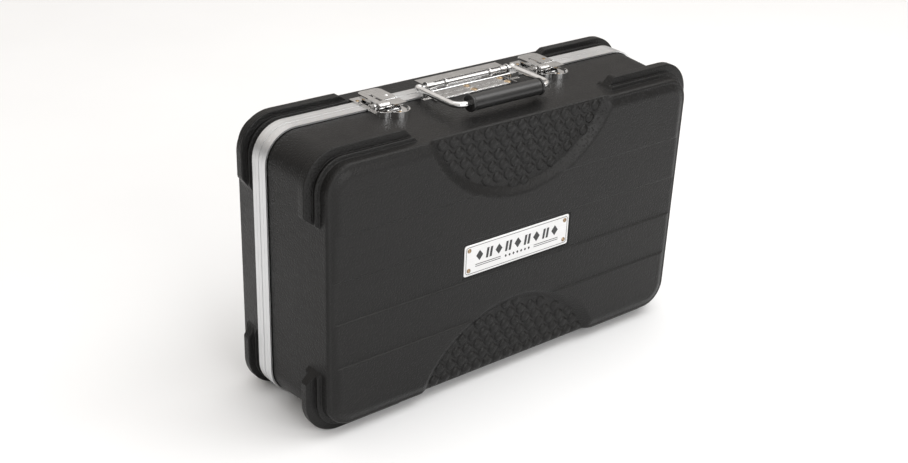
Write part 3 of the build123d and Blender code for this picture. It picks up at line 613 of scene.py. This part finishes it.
def shell_mesh(name, half, pitch):
    """Closed mesh of one half: outer panel and walls with bumpers, the mouth and the inside."""
    # the panel's grid, closer where its shape changes
    half_x, half_z, radius = half.outline(half.shoulder)
    marks_z = [half_z - radius, BUMPER_END_Z, BUMPER_END_Z - BUMPER_CHAMFER]
    for height in STEP_HEIGHTS:
        marks_z += [height + STEP_SPREAD * share for share in (-0.5, -0.25, 0.0, 0.25, 0.5)]
    inner_x, inner_z = half_x - radius, half_z - radius
    marks_z += [POCKET_HALF_Z - 0.15, POCKET_HALF_Z + 0.15]
    marks_x = [BUMPER_END_X, BUMPER_END_X - BUMPER_CHAMFER, POCKET_HALF_X - 0.15, POCKET_HALF_X + 0.15]
    lines_x = grid_lines(inner_x, pitch, marks_x)
    lines_z = grid_lines(inner_z, pitch, [m for m in marks_z if m < inner_z])
    corner = [radius * (1 - (1 - i / CORNER_STEPS) ** 1.35) for i in range(1, CORNER_STEPS + 1)]
    lines_x = [-inner_x - c for c in reversed(corner)] + lines_x + [inner_x + c for c in corner]
    lines_z = [-inner_z - c for c in reversed(corner)] + lines_z + [inner_z + c for c in corner]
    points, faces = [], []

    def panel_point(x, z, shrink):
        """Bends the grid's corners to the rounded outline and pulls its rim in by the edge's radius."""
        ix, iz = max(abs(x) - inner_x, 0.0) / radius, max(abs(z) - inner_z, 0.0) / radius
        r = radius - shrink
        bent_x = ix * math.sqrt(1 - iz * iz / 2) * r
        bent_z = iz * math.sqrt(1 - ix * ix / 2) * r
        out_x = math.copysign(min(abs(x), inner_x) + bent_x, x)
        out_z = math.copysign(min(abs(z), inner_z) + bent_z, z)
        return out_x, out_z

    nx, nz = len(lines_x), len(lines_z)
    for z in lines_z:
        for x in lines_x:
            px, pz = panel_point(x, z, EDGE_RADIUS)
            points.append(half.place(px, panel_depth(px, pz, half), pz))
    for j in range(nz - 1):
        for i in range(nx - 1):
            a = j * nx + i
            faces.append((a, a + 1, a + nx + 1, a + nx))
    ring = list(range(nx - 1))
    ring += [j * nx + nx - 1 for j in range(nz - 1)]
    ring += [(nz - 1) * nx + i for i in range(nx - 1, 0, -1)]
    ring += [j * nx for j in range(nz - 1, 0, -1)]

    # where each point of the grid's rim lies on a rounded rectangle
    marks = []
    for index in ring:
        x, z = lines_x[index % nx], lines_z[index // nx]
        if abs(x) >= inner_x and abs(z) >= inner_z:
            bx, bz = panel_point(x, z, 0.0)
            angle = math.atan2(abs(bz) - inner_z, abs(bx) - inner_x)
            marks.append((math.copysign(1, x), math.copysign(1, z), angle, None))
        elif abs(x) > inner_x:
            marks.append((math.copysign(1, x), 0, None, z / inner_z))
        else:
            marks.append((0, math.copysign(1, z), None, x / inner_x))

    def add_row(row_points):
        start = len(points)
        points.extend(row_points)
        return list(range(start, start + len(row_points)))

    def bridge(first, second):
        count = len(first)
        for k in range(count):
            n = (k + 1) % count
            faces.append((first[k], first[n], second[n], second[k]))

    # the rounded edge follows the recesses where they cut through it
    rows = [ring]
    edges = []
    for mark in marks:
        x, z = on_outline(mark, half.outline(half.shoulder))
        edge = half.shoulder
        if half.recessed:
            edge = min(edge, panel_depth(x * 0.9999, z * 0.9999, half))
        edges.append(edge)
    for step in range(1, ROUND_STEPS + 1):
        turn = math.pi / 2 * (1 - step / ROUND_STEPS)
        row = []
        for mark, edge in zip(marks, edges):
            drop = EDGE_RADIUS * (1 - math.sin(turn))
            pull = EDGE_RADIUS * (1 - math.cos(turn))
            u = edge - drop
            x, z = on_outline(mark, half.outline(u, pull))
            row.append(half.place(x, u, z))
        rows.append(add_row(row))
    # the side wall with its bumpers, down to the mouth
    sides = bumper_profile()
    down = [(half.bumper_at + d, h) for d, h in reversed(sides)] + [(half.bumper_at - d, h) for d, h in sides]
    bumper_shape = (BUMPER_HALF_X, BUMPER_HALF_Z, BUMPER_RADIUS)
    first_u = down[0][0]
    plan = [(None, 0.25, 0.0), (None, 0.6, 0.0)]
    plan += [(u, None, h) for u, h in down]
    last_u = down[-1][0]
    plan += [(last_u + (SHELL_EDGE - last_u) * k / 6, None, 0.0) for k in range(1, 7)]
    for u, between, height in plan:
        row = []
        for mark, edge in zip(marks, edges):
            top = edge - EDGE_RADIUS
            depth = u if between is None else top + (first_u - top) * between
            x, z = on_outline(mark, half.outline(depth))
            if height:
                share = min(height, bumper_share(x, z))
                bx, bz = on_outline(mark, bumper_shape)
                if mark[2] is None:
                    bx, bz = (bx, z) if mark[0] else (x, bz)
                x, z = x + (bx - x) * share, z + (bz - z) * share
            row.append(half.place(x, depth, z))
        rows.append(add_row(row))
    for u in (SHELL_EDGE, half.bumper_at * 0.5, half.bumper_at, half.inner_floor):
        row = []
        for mark in marks:
            x, z = on_outline(mark, half.outline(u, WALL))
            row.append(half.place(x, u, z))
        rows.append(add_row(row))
    for first, second in zip(rows, rows[1:]):
        bridge(first, second)
    faces.append(tuple(rows[-1]))
    mesh = mesh_from(name, points, faces)
    outward(mesh)
    return mesh


FRONT_FLOOR = PARTING_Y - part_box("lid_foam")[0][1] / MM + 0.2
REAR_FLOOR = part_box("base_foam_sheet")[1][1] / MM - PARTING_Y + 0.2
FRONT_HALF = Half(-1, FRONT_DEPTH, 249.6, 148.1, 86.0, True, FRONT_FLOOR)
REAR_HALF = Half(1, REAR_DEPTH, 255.0, 151.2, 30.0, False, REAR_FLOOR)


def build_shells():
    pitch = FINE_PITCH
    for name, node, half, spacing, body in (
            ("front_shell_moulding", "front_shell", FRONT_HALF, pitch, "lid_half"),
            ("rear_shell_moulding", "rear_shell", REAR_HALF, COARSE_PITCH, "base_half")):
        piece = link(name, shell_mesh(name, half, spacing), MATERIALS["shell_plastic"], body)
        flat_faces(piece)
        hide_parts(node)


# ---- grip studs ----
def stud_rings():
    """Rings of one stud: a rounded, faintly four-cornered mound with steep sides."""
    rings = []
    for share in (1.0, 0.93, 0.84, 0.72, 0.58, 0.42, 0.22):
        level = STUD_HEIGHT * math.cos(share * math.pi / 2) ** 0.62
        ring = []
        for k in range(STUD_SIDES):
            angle = 2 * math.pi * k / STUD_SIDES
            corner = 1 + 0.07 * math.cos(4 * angle) * share
            reach = STUD_RADIUS * share * corner
            ring.append((reach * math.cos(angle), level, reach * math.sin(angle)))
        rings.append(ring)
    return rings


def build_studs():
    """Rows of studs on the floor of both recesses, cut off level with the case's edge."""
    sides = STUD_SIDES
    rings = stud_rings()
    floor = FRONT_HALF.depth - RECESS_DEPTH
    edge_z = FRONT_HALF.outline(floor)[1] - 2.2
    row_step = STUD_PITCH * math.sqrt(3) / 2
    points, faces = [], []
    for half_sign in (1, -1):
        for row in range(STUD_ROWS):
            z = STUD_FIRST_ROW + row * row_step
            shift = 0.0 if row % 2 else STUD_PITCH / 2
            for column in range(-9, 10):
                x = column * STUD_PITCH + shift
                if math.hypot(x, RECESS_CENTRE - z) > RECESS_FLOOR_RADIUS - 1.0:
                    continue
                start = len(points)
                for ring in rings:
                    for dx, level, dz in ring:
                        top = min(z + dz, edge_z)
                        points.append(FRONT_HALF.place(x + dx, floor - STUD_SUNK + level, half_sign * top))
                tip = floor - STUD_SUNK + STUD_HEIGHT
                points.append(FRONT_HALF.place(x, tip, half_sign * min(z, edge_z)))
                for r in range(len(rings) - 1):
                    for k in range(sides):
                        n = (k + 1) % sides
                        a = start + r * sides
                        faces.append((a + k, a + n, a + sides + n, a + sides + k))
                last = start + (len(rings) - 1) * sides
                for k in range(sides):
                    faces.append((last + k, last + (k + 1) % sides, start + len(rings) * sides))
    mesh = mesh_from("grip_studs", points, faces)
    outward(mesh)
    studs = link("grip_studs", mesh, MATERIALS["shell_plastic"], "lid_half")


# ---- name plate print ----
def ring_points(half_x, half_z, radius, steps=6):
    """A rounded rectangle in X and Z, anticlockwise."""
    points = []
    for sx, sz, start in ((1, 1, 0.0), (-1, 1, 0.5), (-1, -1, 1.0), (1, -1, 1.5)):
        for k in range(steps + 1):
            angle = math.pi * (start + 0.5 * k / steps)
            points.append((sx * (half_x - radius) + radius * math.cos(angle),
                           sz * (half_z - radius) + radius * math.sin(angle)))
    return points


def build_print():
    """Generic print: a ruled border, a row of plain lozenges and bars, and two rules below."""
    low, high = (Vector(v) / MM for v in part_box("nameplate"))
    face_y, mid_x, mid_z = low.y, (low.x + high.x) / 2, (low.z + high.z) / 2
    half_x, half_z = (high.x - low.x) / 2, (high.z - low.z) / 2
    points, faces = [], []

    def slab(outer, inner=None):
        """A thin inked patch or band standing a hair off the plate."""
        loops = [outer] if inner is None else [outer, inner]
        start, count = len(points), len(outer)
        for level in (INK_LIFT, -INK_LIFT):
            for loop in loops:
                points.extend((mid_x + x, face_y - level, mid_z + z) for x, z in loop)
        depth = len(loops) * count
        for k in range(count):
            n = (k + 1) % count
            faces.append((start + k, start + n, start + depth + n, start + depth + k))
            if inner:
                a, b = start + count, start + depth + count
                faces.append((a + n, a + k, b + k, b + n))
                faces.append((start + k, a + k, a + n, start + n))
                faces.append((start + depth + k, start + depth + n, b + n, b + k))
        if not inner:
            faces.append(tuple(range(start + count - 1, start - 1, -1)))
            faces.append(tuple(range(start + depth, start + depth + count)))

    def bar(x0, x1, z0, z1, lean=0.0):
        slab([(x0, z0), (x1, z0), (x1 + lean, z1), (x0 + lean, z1)])

    def lozenge(x, z, wide, tall):
        slab([(x - wide, z), (x, z - tall), (x + wide, z), (x, z + tall)])

    slab(ring_points(half_x - 2.2, half_z - 2.2, 3.0), ring_points(half_x - 2.8, half_z - 2.8, 2.5))
    for k in range(9):
        x = (k - 4) * 13.6
        if k % 2:
            bar(x - 4.8, x - 1.6, -2.6, 9.4, 1.6)
            bar(x + 0.4, x + 3.6, -2.6, 9.4, 1.6)
        else:
            lozenge(x, 3.4, 4.9, 6.2)
    for z in (-7.2, -9.4):
        bar(-60.0, -24.0, z, z + 0.8)
        bar(24.0, 60.0, z, z + 0.8)
    for k in range(7):
        lozenge((k - 3) * 5.6, -8.0, 1.6, 1.9)
    mesh = mesh_from("nameplate_print", points, faces)
    ink = link("nameplate_print", mesh, INK, "lid_half", smooth=False)


# ---- foam linings ----
def foam_block(name, body, node, low, high, towards, waves):
    """A foam lining: a sheet with convoluted peaks towards the inside of the case."""
    count_x = max(24, int((high.x - low.x) / (FOAM_PITCH / 6)))
    count_z = max(24, int((high.z - low.z) / (FOAM_PITCH / 6)))
    base_y = low.y if towards > 0 else high.y
    thick = high.y - low.y
    radius = FOAM_RADIUS
    cx, cz = (low.x + high.x) / 2, (low.z + high.z) / 2
    half_x, half_z = (high.x - low.x) / 2, (high.z - low.z) / 2
    points, faces = [], []

    def edge_gap(x, z):
        dx, dz = abs(x - cx) - (half_x - radius), abs(z - cz) - (half_z - radius)
        return radius - math.hypot(max(dx, 0.0), max(dz, 0.0)) - min(max(dx, dz), 0.0)

    def fitted(x, z):
        """Pulls the sheet's square corners in to its rounded outline."""
        dx, dz = abs(x - cx) - (half_x - radius), abs(z - cz) - (half_z - radius)
        if dx <= 0 or dz <= 0:
            return x, z
        i, j = dx / radius, dz / radius
        nx = half_x - radius + radius * i * math.sqrt(1 - j * j / 2)
        nz = half_z - radius + radius * j * math.sqrt(1 - i * i / 2)
        return cx + math.copysign(nx, x - cx), cz + math.copysign(nz, z - cz)

    for level in (1, 0):
        for j in range(count_z + 1):
            for i in range(count_x + 1):
                x, z = fitted(low.x + (high.x - low.x) * i / count_x,
                              low.z + (high.z - low.z) * j / count_z)
                if level:
                    gap = edge_gap(x, z)
                    ripple = (math.cos(2 * math.pi * (x - cx) / FOAM_PITCH)
                              * math.cos(2 * math.pi * (z - cz) / FOAM_PITCH))
                    border = min(max((gap - 10.0) / 6.0, 0.0), 1.0)
                    height = thick - waves * (0.5 - 0.5 * ripple) * border
                    height -= 2.2 * (1 - min(max(gap / 3.0, 0.0), 1.0)) ** 2
                    points.append((x, base_y + towards * height, z))
                else:
                    points.append((x, base_y, z))
    row, sheet = count_x + 1, (count_x + 1) * (count_z + 1)
    for j in range(count_z):
        for i in range(count_x):
            a = j * row + i
            faces.append((a, a + 1, a + row + 1, a + row))
            faces.append((sheet + a, sheet + a + row, sheet + a + row + 1, sheet + a + 1))
    rim = list(range(count_x)) + [j * row + count_x for j in range(count_z)]
    rim += [count_z * row + i for i in range(count_x, 0, -1)] + [j * row for j in range(count_z, 0, -1)]
    for k, a in enumerate(rim):
        b = rim[(k + 1) % len(rim)]
        faces.append((a, sheet + a, sheet + b, b))
    mesh = mesh_from(name, points, faces)
    outward(mesh)
    piece = link(name, mesh, MATERIALS["foam"], body)
    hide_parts(node)


def foam_frame():
    """The foam ring round the board, with a rounded, slightly crowned edge."""
    node = "base_foam_ring"
    piece = link("foam_ring", merged_copy(node), MATERIALS["foam"], "base_half")
    round_edges(piece, 3.0, 4, 50)
    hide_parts(node)


def build_foam():
    low, high = (Vector(v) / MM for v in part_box("lid_foam"))
    foam_block("lid_foam_sheet", "lid_half", "lid_foam", low, high, 1, 5.0)
    low, high = (Vector(v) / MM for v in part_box("base_foam_sheet"))
    foam_block("base_foam_bed", "base_half", "base_foam_sheet", low, high, -1, 0.0)
    foam_frame()


# ---- studio ----
def build_stage():
    """A pale floor under a plain sky, three soft lights and the camera."""
    floor_material, shader = new_material("studio_floor")
    g = Graph(floor_material)
    clouds = g.noise(3.0, 3.0)
    colour = g.ramp(clouds, [(0.3, grey(0.92, -0.012)), (0.7, grey(0.94, -0.012))])
    g.join(colour, shader.inputs["Base Color"])
    shader.inputs["Roughness"].default_value = 0.7
    size = FLOOR_HALF
    corners = [(-size, -size, 0), (size, -size, 0), (size, size, 0), (-size, size, 0)]
    mesh = bpy.data.meshes.new("studio_floor")
    mesh.from_pydata(corners, [], [(0, 1, 2, 3)])
    mesh.materials.append(floor_material)
    floor = bpy.data.objects.new("studio_floor", mesh)
    bpy.context.scene.collection.objects.link(floor)

    world = bpy.data.worlds.new("studio")
    bpy.context.scene.world = world
    world.use_nodes = True
    nodes, links = world.node_tree.nodes, world.node_tree.links
    split = nodes.new("ShaderNodeSeparateXYZ")
    links.new(nodes.new("ShaderNodeTexCoord").outputs["Generated"], split.inputs["Vector"])
    sky = nodes.new("ShaderNodeValToRGB")
    links.new(split.outputs["Z"], sky.inputs["Fac"])
    while len(sky.color_ramp.elements) < len(SKY):
        sky.color_ramp.elements.new(0.5)
    for element, (height, value, warmth) in zip(sky.color_ramp.elements, SKY):
        element.position = height
        element.color = (*grey(value, warmth), 1.0)
    links.new(sky.outputs["Color"], nodes["Background"].inputs["Color"])
    nodes["Background"].inputs["Strength"].default_value = 1.0

    for name, place, aim, width, height, power in SOFTBOXES:
        data = bpy.data.lights.new(name, "AREA")
        data.shape = "RECTANGLE"
        data.size, data.size_y, data.energy = width, height, power
        lamp = bpy.data.objects.new(name, data)
        bpy.context.scene.collection.objects.link(lamp)
        lamp.location = place
        lamp.visible_camera = False
        lamp.rotation_euler = (Vector(aim) - Vector(place)).to_track_quat("-Z", "Y").to_euler()
    bpy.context.scene.view_settings.view_transform = "Standard"

    camera_data = bpy.data.cameras.new("camera")
    camera = bpy.data.objects.new("camera", camera_data)
    bpy.context.scene.collection.objects.link(camera)
    turn = Matrix((CAMERA_RIGHT, CAMERA_UP, CAMERA_BACK)).transposed().to_4x4()
    camera.matrix_world = Matrix.Translation(CAMERA_PLACE) @ turn
    camera_data.lens = CAMERA_LENS
    camera_data.sensor_width = 36.0
    camera_data.shift_x, camera_data.shift_y = CAMERA_SHIFT
    bpy.context.scene.camera = camera


paint_nodes()
soften_hardware()
build_shells()
build_studs()
build_print()
build_foam()
build_stage()
